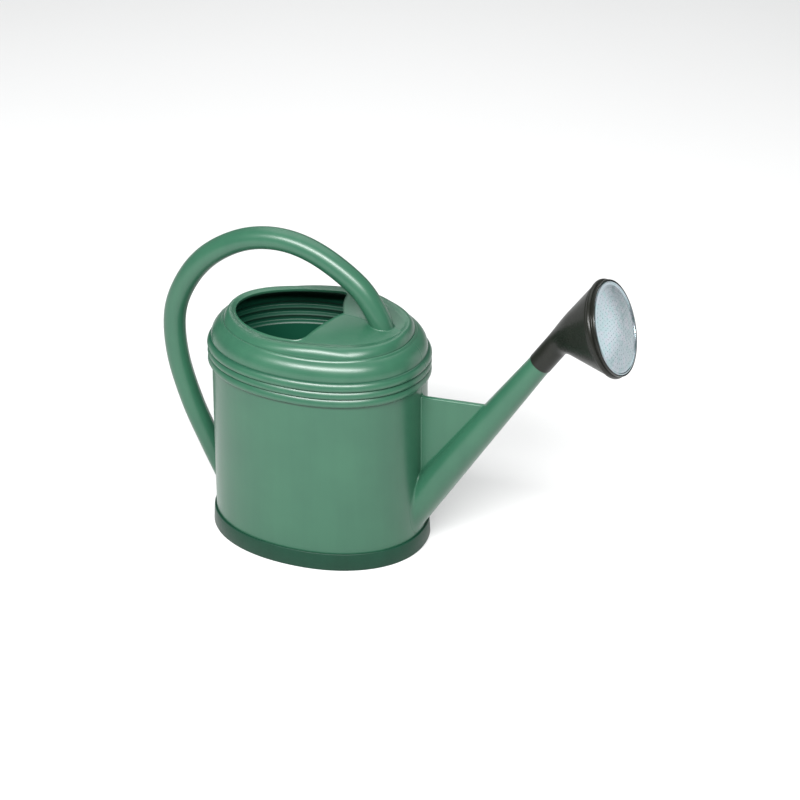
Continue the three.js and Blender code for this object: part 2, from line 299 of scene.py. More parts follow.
def tank_wall():
    """The wall from its foot to the first groove, and back down its inside."""
    steps = 24
    heights = [lerp(WALL_BOTTOM, WALL_TOP, i / steps) for i in range(steps + 1)]
    outer = [(wall_half_length(height), OVAL_INSET, height) for height in heights]
    return oval_shell(outer + inside_of(outer))


def tank_floor():
    """A pushed-up floor with a rounded corner where it meets the wall."""
    edge = wall_half_length(0) - SKIN + OVERLAP
    corner_steps = 6
    corner_top = 16.5
    top = []
    for step in range(corner_steps + 1):
        turn = math.pi / 2 * step / corner_steps
        inward = FLOOR_CORNER * (1 - math.cos(turn))
        top.append((edge - inward, corner_top - FLOOR_CORNER * math.sin(turn)))
    top += [(edge - 14, 9.7), (edge - 20, 11.6), (edge - 26, 12), (edge - 60, 12.3), (OVAL_INSET, 12.4)]
    under = [(half_length, height - SKIN) for half_length, height in top[2:]]
    outline = top[::-1] + [(edge, 8)] + under
    return oval_shell([(half_length, OVAL_INSET, height) for half_length, height in outline],
                      ridge=False, ring=False)


def foot_ring():
    """A band round the wall, with a flange under the tank and rounded edges."""
    inner = WALL_BOTTOM_HALF_LENGTH + 0.05
    flange = inner - 5
    outer = FOOT_HALF_LENGTH
    outer_top = FOOT_HALF_LENGTH - FOOT_LEAN
    outline = [
        (flange, 0.3), (flange + 0.3, 0), (outer - 1.1, 0), (outer - 0.4, 0.3), (outer, 1.2),
        (outer_top, FOOT_HEIGHT - 1.3), (outer_top - 0.25, FOOT_HEIGHT - 0.5),
        (outer_top - 0.9, FOOT_HEIGHT), (inner + 0.5, FOOT_HEIGHT), (inner, FOOT_HEIGHT - 0.6),
        (inner, 1.7), (flange, 1.7),
    ]
    return oval_shell([(half_length, OVAL_INSET, height) for half_length, height in outline], ridge=False)


def shoulder_outline():
    """Three rounded beads, then the main shoulder curving in to the ridge at the crease."""
    bead_steps = 16
    shoulder_steps = 22
    ridge_steps = 6
    outer = [(WALL_TOP_HALF_LENGTH - 0.2, OVAL_INSET, WALL_TOP - 1)]
    for bead, rise in enumerate(BEAD_RISES):
        bottom, top = BEAD_EDGES[bead:bead + 2]
        for step in range(bead_steps):
            share = step / bead_steps
            turn = math.pi * share
            groove = lerp(WALL_TOP_HALF_LENGTH, GROOVE_HALF_LENGTH, smooth((bead + share) * 2))
            outer.append((groove + rise * math.sin(turn) ** BEAD_SHARPNESS, OVAL_INSET,
                          lerp(bottom, top, ((1 - math.cos(turn)) / 2) ** BEAD_SAG)))
    for step in range(shoulder_steps + 1):
        turn = SHOULDER_TURN * step / shoulder_steps
        inward = (1 - math.cos(turn)) / (1 - math.cos(SHOULDER_TURN))
        outer.append((
            lerp(SHOULDER_HALF_LENGTH, CREASE_HALF_LENGTH + 2 * CREASE_RADIUS, inward),
            lerp(OVAL_INSET, CREASE_INSET, step / shoulder_steps),
            lerp(BEAD_EDGES[-1] + 0.3, CREASE_HEIGHT - 1.4, math.sin(turn) / math.sin(SHOULDER_TURN)),
        ))
    for step in range(1, ridge_steps + 1):
        turn = math.pi * step / ridge_steps
        outer.append((CREASE_HALF_LENGTH + 1.2 + CREASE_RADIUS * math.cos(turn), CREASE_INSET,
                      CREASE_HEIGHT - 0.4 - 0.6 * math.cos(turn) + CREASE_RIDGE * math.sin(turn)))
    return outer


def shoulder_ring():
    """The beads and the shoulder, with a wall's thickness."""
    outer = shoulder_outline()
    return oval_shell(outer + inside_of(outer))


# ---- the deck with its mouth ----

def border_oval(inward):
    """The oval this far in from the crease, at 0, towards the mouth's oval, at 1."""
    return (lerp(CREASE_HALF_LENGTH, MOUTH_HALF_LENGTH, inward),
            lerp(CREASE_HALF_LENGTH - CREASE_INSET, MOUTH_HALF_WIDTH, inward),
            lerp(OVAL_POWER, 2, inward))


def border_point(angle, inward):
    half_length, half_width, power = border_oval(inward)
    return (half_length * rounded_off(math.cos(angle), power),
            half_width * rounded_off(math.sin(angle), power))


def inward_at(x, y):
    """How far in from the crease a point is, from 0 at the crease to 1 at the mouth's oval."""
    low, high = 0, 1
    for _ in range(24):
        middle = (low + high) / 2
        if oval_reach(x, y, *border_oval(middle)) > 1:
            high = middle
        else:
            low = middle
    return high


def deck_height(x, y, inward=None):
    """The height of the deck and its rounded border, as if it went on over the mouth."""
    if inward is None:
        inward = inward_at(x, y)
    forward = x - MOUTH_APEX_X
    bend = math.hypot(forward, APEX_ROUNDING) - APEX_ROUNDING
    slope = (REAR_SLOPE + FRONT_SLOPE) / 2 * forward - (REAR_SLOPE - FRONT_SLOPE) / 2 * bend
    across = min(abs(y) / MOUTH_HALF_WIDTH, 1)
    fold = ROOF * smooth((x - ROOF_START) / ROOF_RUN) * smooth(inward)
    drop = SIDE_DROP * lerp(across ** 2, across, fold)
    full = APEX_HEIGHT + slope - drop
    border = math.sqrt(1 - (1 - min(max(inward, 0) / BORDER_SHARE, 1)) ** 2)
    rear = max(-x / CREASE_HALF_LENGTH, 0) ** 2
    crest = lerp(RIM_CREST_SIDE, RIM_CREST_REAR, rear)
    bulge = math.sin(min(max(inward, 0), 1) * math.pi) ** RIM_SHARPNESS
    return lerp(CREASE_HEIGHT, full, border) + crest * bulge + seam(y)


def mouth_edge(angle):
    """The mouth's outline: an oval at the rear, and at the front a V with rounded corners."""
    angle = math.remainder(angle, 2 * math.pi)
    if abs(angle) >= MOUTH_START:
        return MOUTH_HALF_LENGTH * math.cos(angle), MOUTH_HALF_WIDTH * math.sin(angle)
    side = math.copysign(1, angle)
    share = abs(angle) / MOUTH_START
    apex = Vector((MOUTH_APEX_X, 0))
    corner = Vector((MOUTH_CORNER_X, MOUTH_HALF_WIDTH))
    corner_start = corner.lerp(apex, MOUTH_CORNER_SHARE)
    bow = Vector((MOUTH_APEX_X - 13.5, MOUTH_HALF_WIDTH * 0.36))
    oval = Vector((MOUTH_HALF_LENGTH * math.cos(MOUTH_START), MOUTH_HALF_WIDTH * math.sin(MOUTH_START)))
    side_share = 0.74
    if share < side_share:
        point = bezier(apex, bow, corner_start, share / side_share)
    else:
        point = bezier(corner_start, corner, oval, (share - side_share) / (1 - side_share))
    return point.x, side * point.y


def mouth_deck():
    """The deck's top from the crease to the mouth, then round the lip, and back along its underside."""
    border_steps = 26
    deck_steps = 36
    lip_steps = 8
    down_to_lip = border_steps + deck_steps
    rows = 2 * down_to_lip + lip_steps + 2

    def sheet(angle, row):
        if row <= border_steps:
            inward = (row / border_steps) ** 2
            x, y = border_point(angle, inward)
            return x, y, deck_height(x, y, inward)
        share = (row - border_steps) / deck_steps
        start = border_point(angle, 1)
        end = mouth_edge(angle)
        x, y = lerp(start[0], end[0], share), lerp(start[1], end[1], share)
        return x, y, deck_height(x, y, 1)

    def place(column, row):
        angle = crowded(column)
        row = row % rows
        if row <= down_to_lip:
            return Vector(sheet(angle, row))
        if row <= down_to_lip + lip_steps:
            turn = math.pi * (row - down_to_lip) / lip_steps
            x, y = mouth_edge(angle)
            ahead, behind = mouth_edge(angle + 0.01), mouth_edge(angle - 0.01)
            along = Vector((ahead[0] - behind[0], ahead[1] - behind[1])).normalized()
            proud = LIP_RADIUS * math.sin(turn)
            drop = LIP_RADIUS * (1 - math.cos(turn)) - LIP_RISE * math.sin(turn) ** 2
            return Vector((x - along.y * proud, y + along.x * proud, deck_height(x, y, 1) - drop))
        x, y, z = sheet(angle, max(2 * down_to_lip + lip_steps - row, 0))
        sunk = 0.6 if row == rows - 1 else 0
        return Vector((x + math.copysign(sunk, x), y + math.copysign(sunk, y), z - 2 * LIP_RADIUS))

    return wrap(COLUMNS, rows, place)


# ---- tubes that grow out of the tank ----

def wall_surface(point):
    """Above 0 outside the tank's wall, and below 0 inside it, roughly in millimetres."""
    half_length = wall_half_length(point.z)
    half_width = half_length - OVAL_INSET
    return (oval_reach(point.x, point.y, half_length, half_width, OVAL_POWER) - 1) * half_width


def deck_surface(point):
    return point.z - deck_height(point.x, point.y) + seam(point.y)


def facing(surface, point):
    """Which way the surface faces near a point."""
    step = 0.2
    slopes = [surface(point + step * axis) - surface(point - step * axis) for axis in Matrix.Identity(3)]
    return Vector(slopes) / (2 * step)


def dropped(surface, point, depth=0.0):
    """The nearest point on the surface, or this far under it."""
    for _ in range(3):
        slope = facing(surface, point)
        point = point - slope * (surface(point) / slope.length_squared)
    return point - facing(surface, point).normalized() * depth


def root_along(tube, surface, inner, outer, angle):
    """How far along the tube its side, at this angle, comes out of the surface."""
    for _ in range(30):
        middle = (inner + outer) / 2
        if surface(tube(middle, angle)) > 0:
            outer = middle
        else:
            inner = middle
    return outer


def root_rows(tube, surface, root, away, angle, middle, spread, steps=8):
    """From the tube's side, this far along it, round a fillet into the surface it grows from."""
    corner = tube(root, angle)
    start = tube(root + away, angle)
    facing_here = facing(surface, corner).normalized()
    outward = corner - middle
    outward = (outward - outward.dot(facing_here) * facing_here).normalized()
    end = dropped(surface, corner + outward * spread)
    rows = [bezier(start, corner, end, step / steps) for step in range(1, steps + 1)]
    rows.append(dropped(surface, corner + outward * (spread + 0.6), 0.6))
    return rows


# ---- handle ----

def handle_line(share):
    """A point on the smooth curve through HANDLE_POINTS, from the rear foot at 0 to the front foot at 1."""
    place = share * (len(HANDLE_POINTS) - 1)
    index = min(int(place), len(HANDLE_POINTS) - 2)
    t = place - index
    p = [Vector((x, 0, z)) for x, z in HANDLE_POINTS]
    p1, p2 = p[index], p[index + 1]
    p0 = p[index - 1] if index > 0 else 2 * p1 - p2
    p3 = p[index + 2] if index + 2 < len(p) else 2 * p2 - p1
    return ((2 * p1) + (p2 - p0) * t + (2 * p0 - 5 * p1 + 4 * p2 - p3) * t ** 2
            + (3 * p1 - p0 - 3 * p2 + p3) * t ** 3) / 2


def handle_side(share, angle):
    """A point on the handle's skin: angle 0 is the outside of the loop."""
    step = 0.002
    along = (handle_line(min(share + step, 1)) - handle_line(max(share - step, 0))).normalized()
    outer = Vector((-along.z, 0, along.x))
    y = HANDLE_RADIUS * math.sin(angle)
    radius = HANDLE_RADIUS + seam(y)
    return handle_line(share) + outer * radius * math.cos(angle) + Vector((0, y, 0))


def handle():
    """The loop, with a fillet at each foot."""
    columns = 80
    steps = 150
    wall_reach = 0.01       # shares of the handle's length that its fillets take
    deck_reach = 0.0035
    wall_spread = 5
    deck_spread = 1.6

    rings = []
    for column in range(columns):
        angle = crowded(column, columns)
        rear = root_along(handle_side, wall_surface, 0, 0.22, angle)
        front = root_along(handle_side, deck_surface, 1, 0.85, angle)
        rows = root_rows(handle_side, wall_surface, rear, wall_reach, angle, handle_line(rear),
                         wall_spread)[::-1]
        first, last = rear + wall_reach, front - deck_reach
        rows += [handle_side(lerp(first, last, step / steps), angle) for step in range(steps + 1)]
        rows += root_rows(handle_side, deck_surface, front, -deck_reach, angle, handle_line(front),
                          deck_spread)
        rings.append(rows)
    bm = wrap(columns, len(rings[0]) - 1, lambda column, row: rings[column % columns][row])
    ends = [edge for edge in bm.edges if edge.is_boundary]
    bmesh.ops.holes_fill(bm, edges=ends, sides=0)
    return bm


# ---- spout and its web ----

def spout_radius_at(along):
    return SPOUT_RADIUS - SPOUT_TAPER * along


def spout_ring(along, radius, angle, ridge=0.0):
    """A point round the spout's axis: angle 0 is its upper side, in the middle plane."""
    upper = direction(SPOUT_ANGLE + math.pi / 2)
    return (SPOUT_SOCKET + direction(SPOUT_ANGLE) * along
            + upper * (radius + ridge) * math.cos(angle) + Vector((0, radius * math.sin(angle), 0)))


def spout_side(along, angle):
    radius = spout_radius_at(along)
    return spout_ring(along, radius, angle, seam(radius * math.sin(angle)))


def spout():
    """The spout from its root to its step and spigot, and back down its bore."""
    columns = 96
    steps = 60
    bore_steps = 20
    tip = -0.3
    bore = SPIGOT_RADIUS - SPOUT_SKIN
    bore_narrows = -6
    root_from, root_to = -SPOUT_LENGTH - 40, -120
    spigot = [(tip, SPIGOT_RADIUS), (SPIGOT_LENGTH - SPIGOT_CHAMFER, SPIGOT_RADIUS),
              (SPIGOT_LENGTH, SPIGOT_RADIUS - 0.8 * SPIGOT_CHAMFER), (SPIGOT_LENGTH, bore), (tip, bore)]

    def bore_side(along, angle):
        return spout_ring(along, spout_radius_at(along) - SPOUT_SKIN, angle)

    def inner_wall(point):
        return wall_surface(point) + SKIN - OVERLAP

    rings = []
    for column in range(columns):
        angle = crowded(column, columns)
        low_down = (1 - math.cos(angle)) / 2
        reach, spread = lerp(2.5, 9, low_down), lerp(2, 9, low_down)
        root = root_along(spout_side, wall_surface, root_from, root_to, angle)
        middle = spout_ring(root, 0, angle)
        rows = root_rows(spout_side, wall_surface, root, reach, angle, middle, spread)[::-1]
        rows += [spout_side(lerp(root + reach, tip, step / steps), angle) for step in range(steps + 1)]
        for along, radius in spigot:
            rows.append(spout_ring(along, radius, angle))
        inner = root_along(bore_side, inner_wall, root_from, root_to, angle)
        rows += [bore_side(lerp(bore_narrows, inner, step / bore_steps), angle)
                 for step in range(bore_steps + 1)]
        rings.append(rows)
    count = len(rings[0])
    return wrap(columns, count, lambda column, row: rings[column % columns][row % count])


def spout_bore_cutter():
    """The bore where it passes through the tank's wall."""
    inner, outer = -SPOUT_LENGTH - 20, -200
    return turned([
        (0, inner), (spout_radius_at(inner) - SPOUT_SKIN, inner),
        (spout_radius_at(outer) - SPOUT_SKIN, outer), (0, outer),
    ], SPOUT_SOCKET, SPOUT_ANGLE)


def fillet_half_thickness(distance, round_radius, fillet):
    """Half thickness of the web beside a round surface, as its fillet swells to meet that surface.
    The distance is from the round surface's axis."""
    flat = WEB_HALF_THICKNESS
    middle = math.sqrt((round_radius + fillet) ** 2 - (flat + fillet) ** 2)
    touching = middle * round_radius / (round_radius + fillet)
    if distance >= middle:
        return flat
    if distance >= touching:
        return flat + fillet - math.sqrt(max(fillet ** 2 - (middle - distance) ** 2, 0))
    sunk = OVERLAP * smooth((touching - distance) / 2)
    return math.sqrt(max(round_radius ** 2 - distance ** 2, 0)) - sunk


def web_top_at(x):
    """The height of the web's straight top edge."""
    slope = (WEB_TOP_OUTER.z - WEB_TOP_INNER.z) / (WEB_TOP_OUTER.x - WEB_TOP_INNER.x)
    return WEB_TOP_INNER.z + (x - WEB_TOP_INNER.x) * slope


def web_half():
    """One side of the web, as a sheet over the middle plane between the wall and the spout."""
    across = 90
    up = 90
    axis = direction(SPOUT_ANGLE)
    above_axis = direction(SPOUT_ANGLE + math.pi / 2)
    wall_x = wall_half_length(160)
    wall_curve = (wall_x - OVAL_INSET) ** 2 / wall_x
    in_wall_x = wall_x - 1.5
    low = SPOUT_SOCKET + axis * ((in_wall_x - SPOUT_SOCKET.x) / axis.x) + above_axis * 10
    low.x = in_wall_x
    inner_high = Vector((in_wall_x, 0, web_top_at(wall_x)))

    def ease(share):
        """Crowds the cells towards both ends."""
        return share - 0.8 * math.sin(2 * math.pi * share) / (2 * math.pi)

    def place(column, row):
        top_share = 1 - (1 - row / up) ** 1.6
        inner = low.lerp(inner_high, top_share)
        outer = low.lerp(WEB_TOP_OUTER, top_share)
        point = inner.lerp(outer, ease(column / across))
        short = WEB_CORNER_RADIUS - max(point.x - wall_x, 0)
        if short > 0:
            lift = WEB_CORNER_RADIUS - math.sqrt(max(WEB_CORNER_RADIUS ** 2 - short ** 2, 0))
            point.z += lift * smooth(top_share * 8 - 7)
        depth = 0 if row == up else web_top_at(point.x) - point.z
        offset = point - SPOUT_SOCKET
        spout_radius = spout_radius_at(offset.dot(axis))
        half = max(
            fillet_half_thickness(offset.dot(above_axis), spout_radius, WEB_SPOUT_FILLET),
            fillet_half_thickness(point.x - wall_x + wall_curve, wall_curve, WEB_WALL_FILLET),
        )
        edge = min(max(depth / WEB_EDGE_RADIUS, 0), 1)
        rounding = math.sqrt(1 - (1 - edge) ** 2)
        core = WEB_HALF_THICKNESS - WEB_EDGE_RADIUS
        return Vector((point.x, -lerp(core, half, rounding), point.z))

    return wrap(across, up, place)


def spout_web():
    """Both sides of the web, joined round their edge."""
    bm = web_half()
    bmesh.ops.mirror(bm, geom=bm.verts[:] + bm.edges[:] + bm.faces[:], matrix=Matrix.Identity(4),
                     merge_dist=-1, axis="Y")
    rim = [edge for edge in bm.edges if edge.is_boundary]
    bmesh.ops.bridge_loops(bm, edges=rim)
    return bm


# ---- the rose ----

ELBOW = SPOUT_SOCKET + direction(SPOUT_ANGLE) * ROSE_ELBOW
PLATE_CENTRE = ELBOW + direction(ROSE_ANGLE) * ROSE_DEPTH


def beside(start, tilt, along, radius):
    """A point beside one of the rose's two axes, in the middle plane."""
    return start + direction(tilt) * along + direction(tilt + math.pi / 2) * radius


def cone_radius_at(depth):
    return CONE_RADIUS * (CONE_APEX_DEPTH - depth) / (CONE_APEX_DEPTH - CONE_END_DEPTH)


def rose_chain(side, bend, thinner):
    """The rose's upper or lower line: along the socket, round a bend and along the cone."""
    socket_end, cone_start = bend

    def on_socket(along):
        radius = SOCKET_RADIUS - thinner
        return beside(SPOUT_SOCKET, SPOUT_ANGLE, along, side * radius)

    def on_cone(depth):
        radius = cone_radius_at(max(depth, CONE_END_DEPTH)) - thinner
        return beside(PLATE_CENTRE, ROSE_ANGLE, -depth, side * radius)

    socket_steps, bend_steps, cone_steps = 8, 14, 14
    points = [on_socket(socket_end * step / socket_steps) for step in range(socket_steps)]
    start, end = on_socket(socket_end), on_cone(cone_start)
    reach = (end - start).length / 2.6
    leaving = start + direction(SPOUT_ANGLE) * reach
    arriving = end - (on_cone(cone_start - 10) - end).normalized() * reach
    for step in range(bend_steps):
        share = step / bend_steps
        first = bezier(start, leaving, arriving, share)
        points.append(first.lerp(bezier(leaving, arriving, end, share), share))
    for step in range(cone_steps + 1):
        points.append(on_cone(lerp(cone_start, CONE_END_DEPTH, step / cone_steps)))
    points.append(on_cone(0.9))
    return points


def rose_body():
    """A hollow elbow and cone, round between its upper and its lower line, out and back inside."""
    columns = 112
    tops = rose_chain(1, UPPER_BEND, 0) + rose_chain(1, UPPER_BEND, ROSE_SKIN)[::-1]
    bottoms = rose_chain(-1, LOWER_BEND, 0) + rose_chain(-1, LOWER_BEND, ROSE_SKIN)[::-1]

    def place(column, row):
        top, bottom = tops[row % len(tops)], bottoms[row % len(tops)]
        angle = 2 * math.pi * column / columns
        across = (top - bottom) / 2
        half = across.length
        return (top + bottom) / 2 + across * math.cos(angle) + Vector((0, half * math.sin(angle), 0))

    return wrap(columns, len(tops), place)


def rose_rim():
    """A bead round the cone's mouth, then a smaller lip that holds the plate."""
    bead_steps = 12
    inner = CONE_RADIUS + 0.02
    outline = [(inner, -9.6)]
    for step in range(bead_steps + 1):
        turn = math.pi * (step / bead_steps - 0.5)
        outline.append((RIM_RADIUS - RIM_BEAD + RIM_BEAD * math.cos(turn), -6.4 + 3.1 * math.sin(turn)))
    outline += [
        (RIM_RADIUS - 2.7, -2.9), (RIM_RADIUS - 2.1, -2.2), (RIM_RADIUS - 1.8, -1.2),
        (RIM_RADIUS - 1.8, 0.2), (RIM_RADIUS - 2, 0.9), (RIM_RADIUS - 2.5, 1.2),
        (RIM_RADIUS - 2.8, 0.9), (inner, 0.3),
    ]
    return turned(outline, PLATE_CENTRE, ROSE_ANGLE, steps=144)


def rose_seal():
    """A rubber ring round the spigot, with three ribs that seal on the socket."""
    clearance = 0.1
    inner = SPIGOT_RADIUS + clearance
    outer = SOCKET_RADIUS - ROSE_SKIN - clearance
    between_ribs = outer - 0.8
    outline = [(inner, 4), (between_ribs, 4)]
    for rib in range(3):
        foot = 5 + rib * 4.5
        outline += [(between_ribs, foot), (outer, foot + 1.2)]
        outline += [(outer, foot + 2.4), (between_ribs, foot + 3.6)]
    return turned(outline + [(inner, 18)], SPOUT_SOCKET, SPOUT_ANGLE, steps=64)


def dome_at(radius):
    return DOME * (1 - (radius / PLATE_RADIUS) ** 2)


def rose_plate():
    """A shallow dome of sheet metal with a rolled edge."""
    dome_steps = 22
    radii = [DOME_RADIUS * step / dome_steps for step in range(dome_steps + 1)]
    dome = [(radius, dome_at(radius) - 0.3) for radius in radii]
    edge = [
        (50.9, 0.3), (51.2, 0.9), (51.7, 1.3), (52.3, 1.4), (52.9, 1.2), (53.5, 0.6), (53.9, -0.2),
        (53.9, -0.9),
    ]
    under = [(radius, height - PLATE_SKIN) for radius, height in reversed(dome)]
    return turned(dome + edge + under, PLATE_CENTRE, ROSE_ANGLE, steps=120)


def spray_holes():
    """The many fine drillings of the plate, in rings, as one cutter."""
    holes = bmesh.new()
    for ring in range(HOLE_RINGS + 1):
        count = max(6 * ring, 1)
        for hole in range(count):
            angle = 2 * math.pi * (hole + 0.5 * (ring % 2)) / count
            radius = ring * HOLE_SPACING
            middle = Vector((radius * math.cos(angle), radius * math.sin(angle), dome_at(radius)))
            bmesh.ops.create_cone(holes, cap_ends=True, segments=8, radius1=HOLE_RADIUS,
                                  radius2=HOLE_RADIUS, depth=5, matrix=Matrix.Translation(middle))
    holes.transform(Matrix.Translation(PLATE_CENTRE) @ Matrix.Rotation(math.pi / 2 - ROSE_ANGLE, 4, "Y"))
    return holes


# ---- shader groups ----

def new_group(name, inputs, outputs):
    """An empty shader group with (name, kind, value) inputs and (name, kind) outputs."""
    group = bpy.data.node_groups.new(name, "ShaderNodeTree")
    sockets = group.interface
    for socket_name, kind, value in inputs:
        socket = sockets.new_socket(name=socket_name, in_out="INPUT", socket_type="NodeSocket" + kind)
        if value is not None:
            socket.default_value = value
    for socket_name, kind in outputs:
        sockets.new_socket(name=socket_name, in_out="OUTPUT", socket_type="NodeSocket" + kind)
    start = group.nodes.new("NodeGroupInput")
    end = group.nodes.new("NodeGroupOutput")
    return group, start.outputs, end.inputs


class Builder:
    """Adds nodes to a tree and links them, so that a material reads as a list of steps."""

    def __init__(self, tree):
        self.nodes = tree.nodes
        self.links = tree.links

    def feed(self, socket, value):
        if isinstance(value, bpy.types.NodeSocket):
            self.links.new(value, socket)
        else:
            socket.default_value = value

    def add(self, kind, output=0, settings=None, **inputs):
        node = self.nodes.new("ShaderNode" + kind)
        for key, value in (settings or {}).items():
            setattr(node, key, value)
        for key, value in inputs.items():
            self.feed(node.inputs[key.replace("_", " ")], value)
        return node.outputs[output]

    def noise(self, vector, scale, detail=2, roughness=0.5):
        return self.add("TexNoise", "Fac", Vector=vector, Scale=scale, Detail=detail, Roughness=roughness)

    def stretched(self, vector, factors):
        return self.add("Mapping", "Vector", Vector=vector, Scale=factors)

    def ramp(self, value, low, high, to_low=0.0, to_high=1.0):
        node = self.nodes.new("ShaderNodeMapRange")
        self.feed(node.inputs["Value"], value)
        for key, limit in (("From Min", low), ("From Max", high), ("To Min", to_low), ("To Max", to_high)):
            self.feed(node.inputs[key], limit)
        return node.outputs["Result"]

    def math(self, operation, first, second=0.0):
        node = self.nodes.new("ShaderNodeMath")
        node.operation = operation
        self.feed(node.inputs[0], first)
        self.feed(node.inputs[1], second)
        return node.outputs[0]

    def mix(self, factor, first, second):
        node = self.nodes.new("ShaderNodeMix")
        node.data_type = "RGBA"
        self.feed(node.inputs["Factor"], factor)
        self.feed(node.inputs["A"], first)
        self.feed(node.inputs["B"], second)
        return node.outputs["Result"]

    def bump(self, height, distance, normal=None):
        node = self.nodes.new("ShaderNodeBump")
        self.feed(node.inputs["Height"], height)
        self.feed(node.inputs["Distance"], distance)
        if normal is not None:
            self.feed(node.inputs["Normal"], normal)
        return node.outputs["Normal"]


def make_moulded_group():
    """Moulded plastic: clouds of tone, faint streaks where the plastic flowed, soft waves and a fine
    eggshell skin."""
    group, given, result = new_group("moulded plastic", [
        ("Colour", "Color", None), ("Deep", "Color", None), ("Cloud size", "Float", 14.0),
        ("Grain size", "Float", 900.0), ("Grain depth", "Float", 0.00003), ("Gloss low", "Float", 0.3),
        ("Gloss high", "Float", 0.42),
    ], [("Colour", "Color"), ("Roughness", "Float"), ("Normal", "Vector")])
    b = Builder(group)
    place = b.add("TexCoord", "Object")
    clouds = b.noise(place, given["Cloud size"], 3, 0.55)
    streaks = b.noise(b.stretched(place, (26, 26, 1.6)), 3.0, 3, 0.6)
    grain = b.noise(place, given["Grain size"], 2, 0.6)
    tone = b.math("ADD", b.math("MULTIPLY", clouds, 0.65), b.math("MULTIPLY", streaks, 0.35))
    b.feed(result["Colour"], b.mix(b.ramp(tone, 0.34, 0.66), given["Deep"], given["Colour"]))
    gloss = b.math("ADD", b.math("MULTIPLY", clouds, 0.5), b.math("MULTIPLY", grain, 0.5))
    b.feed(result["Roughness"], b.ramp(gloss, 0.3, 0.7, given["Gloss low"], given["Gloss high"]))
    waves = b.noise(b.stretched(place, (1.0, 1.0, 0.45)), 9.0, 1, 0.4)
    soft = b.bump(waves, 0.0011)
    b.feed(result["Normal"], b.bump(grain, given["Grain depth"], soft))
    return group


def make_wear_group():
    """Fine scuffs low down on the piece, and specks of dust that settle on what faces up."""
    group, given, result = new_group("scuffs and dust", [
        ("Colour", "Color", None), ("Pale", "Color", None), ("Foot height", "Float", 0.02),
        ("Scuffs", "Float", 0.5), ("Dust", "Float", 0.1),
    ], [("Colour", "Color"), ("Mask", "Float")])
    b = Builder(group)
    place = b.add("TexCoord", "Object")
    height = b.add("SeparateXYZ", "Z", Vector=place)
    low_down = b.ramp(height, 0.0, given["Foot height"], 1.0, 0.0)
    scratches = b.ramp(b.noise(b.stretched(place, (8, 8, 60)), 22.0, 5, 0.75), 0.56, 0.74)
    facing_up = b.ramp(b.add("SeparateXYZ", "Z", Vector=b.add("NewGeometry", "Normal")), 0.55, 1.0)
    specks = b.ramp(b.noise(place, 420.0, 3, 0.7), 0.58, 0.72)
    scuffed = b.math("MULTIPLY", b.math("MULTIPLY", scratches, low_down), given["Scuffs"])
    dusty = b.math("MULTIPLY", b.math("MULTIPLY", specks, facing_up), given["Dust"])
    mask = b.math("MAXIMUM", scuffed, dusty)
    b.feed(result["Mask"], mask)
    b.feed(result["Colour"], b.mix(mask, given["Colour"], given["Pale"]))
    return group


moulded_group = make_moulded_group()
wear_group = make_wear_group()


def new_material(name):
    material = bpy.data.materials.new(name)
    material.use_nodes = True
    shader = material.node_tree.nodes["Principled BSDF"]
    return material, Builder(material.node_tree), shader.inputs


def place_group(b, group, values):
    node = b.nodes.new("ShaderNodeGroup")
    node.node_tree = group
    for key, value in values.items():
        b.feed(node.inputs[key], value)
    return node.outputs


def add_painted_shade(b, finish, roughness, inside):
    """Paints shade into a hollow piece's colour: a darker colour inside, where its faces look at the tank's
    axis, with a duller roughness there, and the same painted shade in the grooves between the beads."""
    from_axis = b.add("VectorMath", "Vector", {"operation": "SUBTRACT"})
    b.feed(from_axis.node.inputs[0], b.add("TexCoord", "Object"))
    b.feed(from_axis.node.inputs[1], (TANK_X, 0, 0))
    level = b.add("VectorMath", "Vector", {"operation": "MULTIPLY"})
    b.feed(level.node.inputs[0], from_axis)
    b.feed(level.node.inputs[1], (1, 1, 0))
    facing_out = b.add("VectorMath", "Value", {"operation": "DOT_PRODUCT"})
    b.feed(facing_out.node.inputs[0], level)
    b.feed(facing_out.node.inputs[1], b.add("NewGeometry", "Normal"))
    # painted shade: faces inside the tank take the darker colour
    is_inside = b.math("LESS_THAN", facing_out, 0.001)
    finish = b.mix(is_inside, finish, inside)
    roughness = b.math("ADD", roughness, b.math("MULTIPLY", is_inside, 0.15))
    # painted shade in the grooves between the beads, in the darker inside colour
    height = b.add("SeparateXYZ", "Z", Vector=b.add("TexCoord", "Object"))
    for edge in BEAD_EDGES:
        gap = b.math("ABSOLUTE", b.math("SUBTRACT", height, edge * MM))
        finish = b.mix(b.ramp(gap, 0.0, GROOVE_SHADE_REACH * MM, 0.7, 0.0), finish, inside)
    return finish, roughness


def plastic(name, colour, deep, pale, gloss, grain, wear, specular=0.5, inside=None):
    """A moulded plastic. gloss is the lowest and highest roughness, grain the fineness and depth of the
    skin, and wear the scuffs, the dust and the height that the scuffs reach."""
    material, b, shader = new_material(name)
    skin = place_group(b, moulded_group, {
        "Colour": colour, "Deep": deep, "Grain size": grain[0], "Grain depth": grain[1],
        "Gloss low": gloss[0], "Gloss high": gloss[1],
    })
    worn = place_group(b, wear_group, {
        "Colour": skin["Colour"], "Pale": pale, "Scuffs": wear[0], "Dust": wear[1], "Foot height": wear[2],
    })
    finish = worn["Colour"]
    roughness = b.math("ADD", skin["Roughness"], b.math("MULTIPLY", worn["Mask"], 0.25))
    # inside is a darker colour painted in as shade inside the tank and in the grooves between its beads
    if inside:
        finish, roughness = add_painted_shade(b, finish, roughness, inside)
    b.feed(shader["Base Color"], finish)
    b.feed(shader["Roughness"], roughness)
    b.feed(shader["Normal"], skin["Normal"])
    shader["Specular IOR Level"].default_value = specular
    return material


